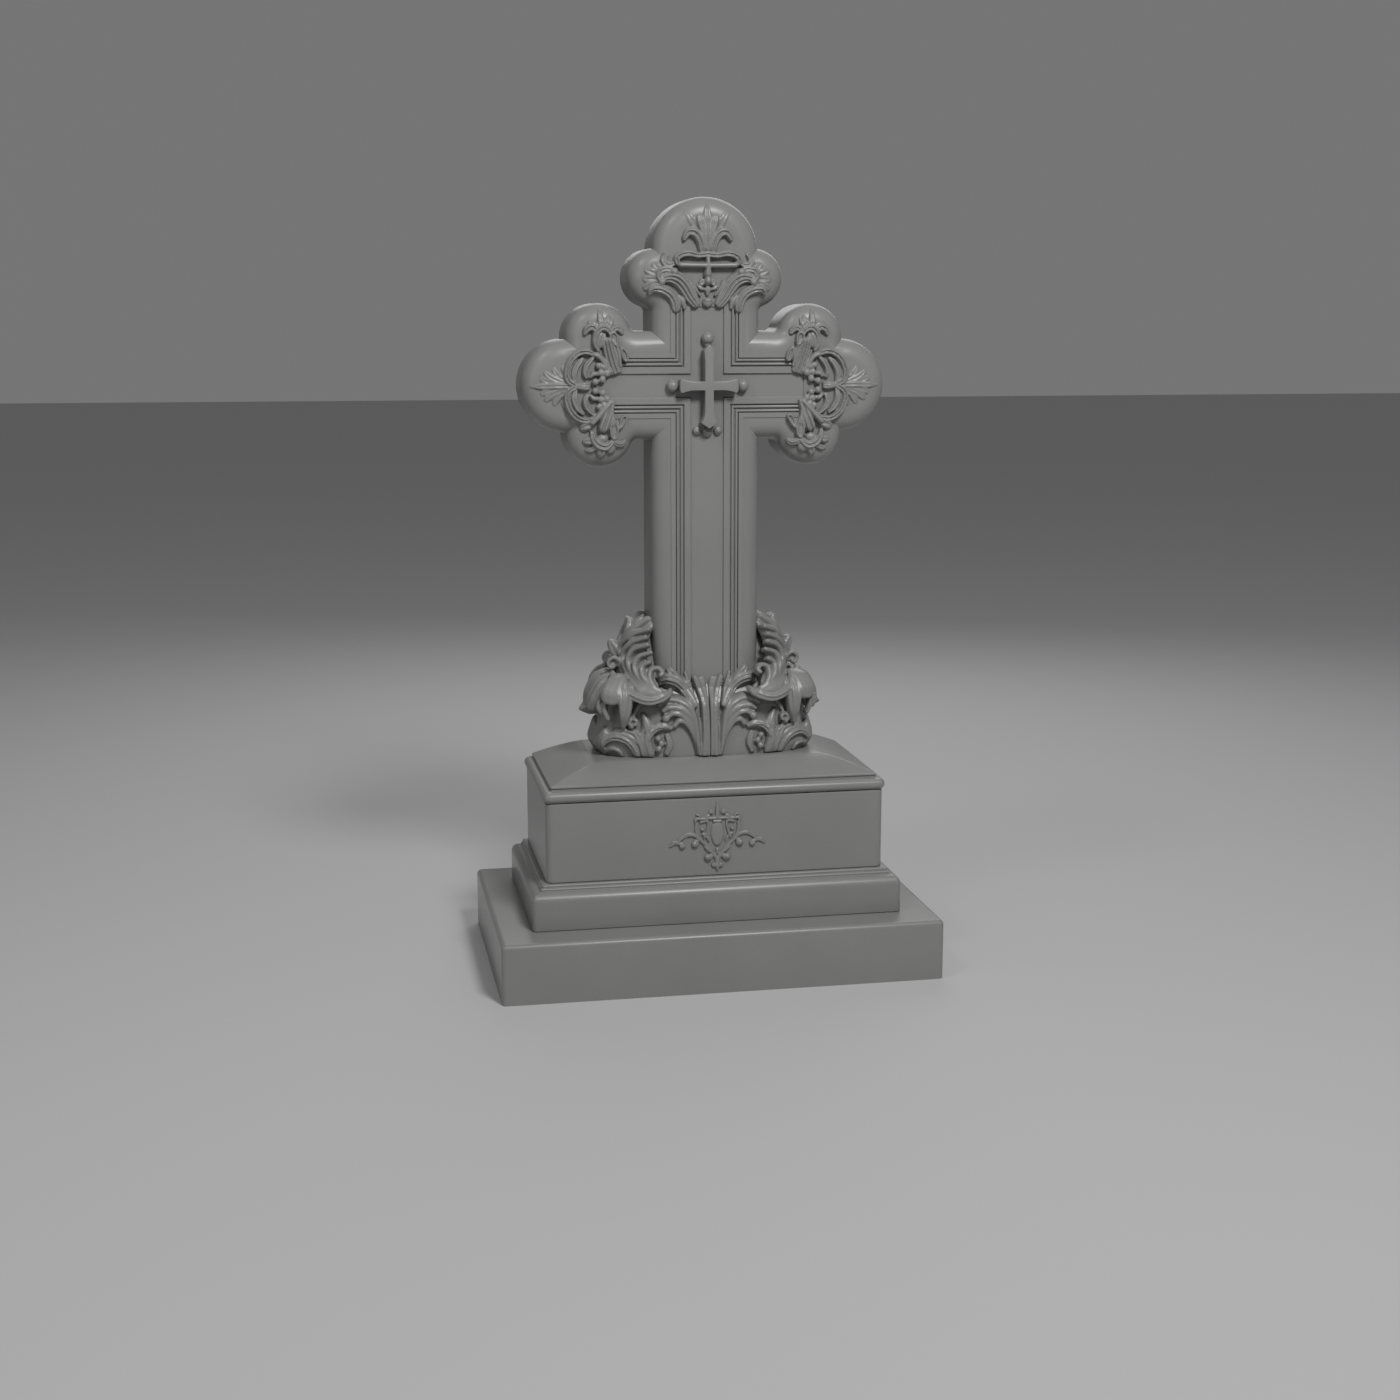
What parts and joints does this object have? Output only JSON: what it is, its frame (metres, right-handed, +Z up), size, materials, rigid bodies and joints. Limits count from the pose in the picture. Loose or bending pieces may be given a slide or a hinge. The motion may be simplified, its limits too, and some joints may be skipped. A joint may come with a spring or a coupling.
{
  "type": "carved stone cross",
  "caption": "Free-standing memorial cross of carved stone with trefoil ends and a leafy foot, on a moulded stone plinth",
  "frame": {"origin": "centre of the underside of the base slab, on the ground", "axes": "X to the right as seen from the carved front, -Y the front, +Z up"},
  "size_m": [0.9, 0.575, 1.5588],
  "materials": {
    "grey_stone": "satin"
  },
  "bodies": {
    "root": {"base_slab": "grey_stone", "plinth_course": "grey_stone", "die_block": "grey_stone", "cap_stone": "grey_stone", "cross": "grey_stone"}
  },
  "joints": []
}
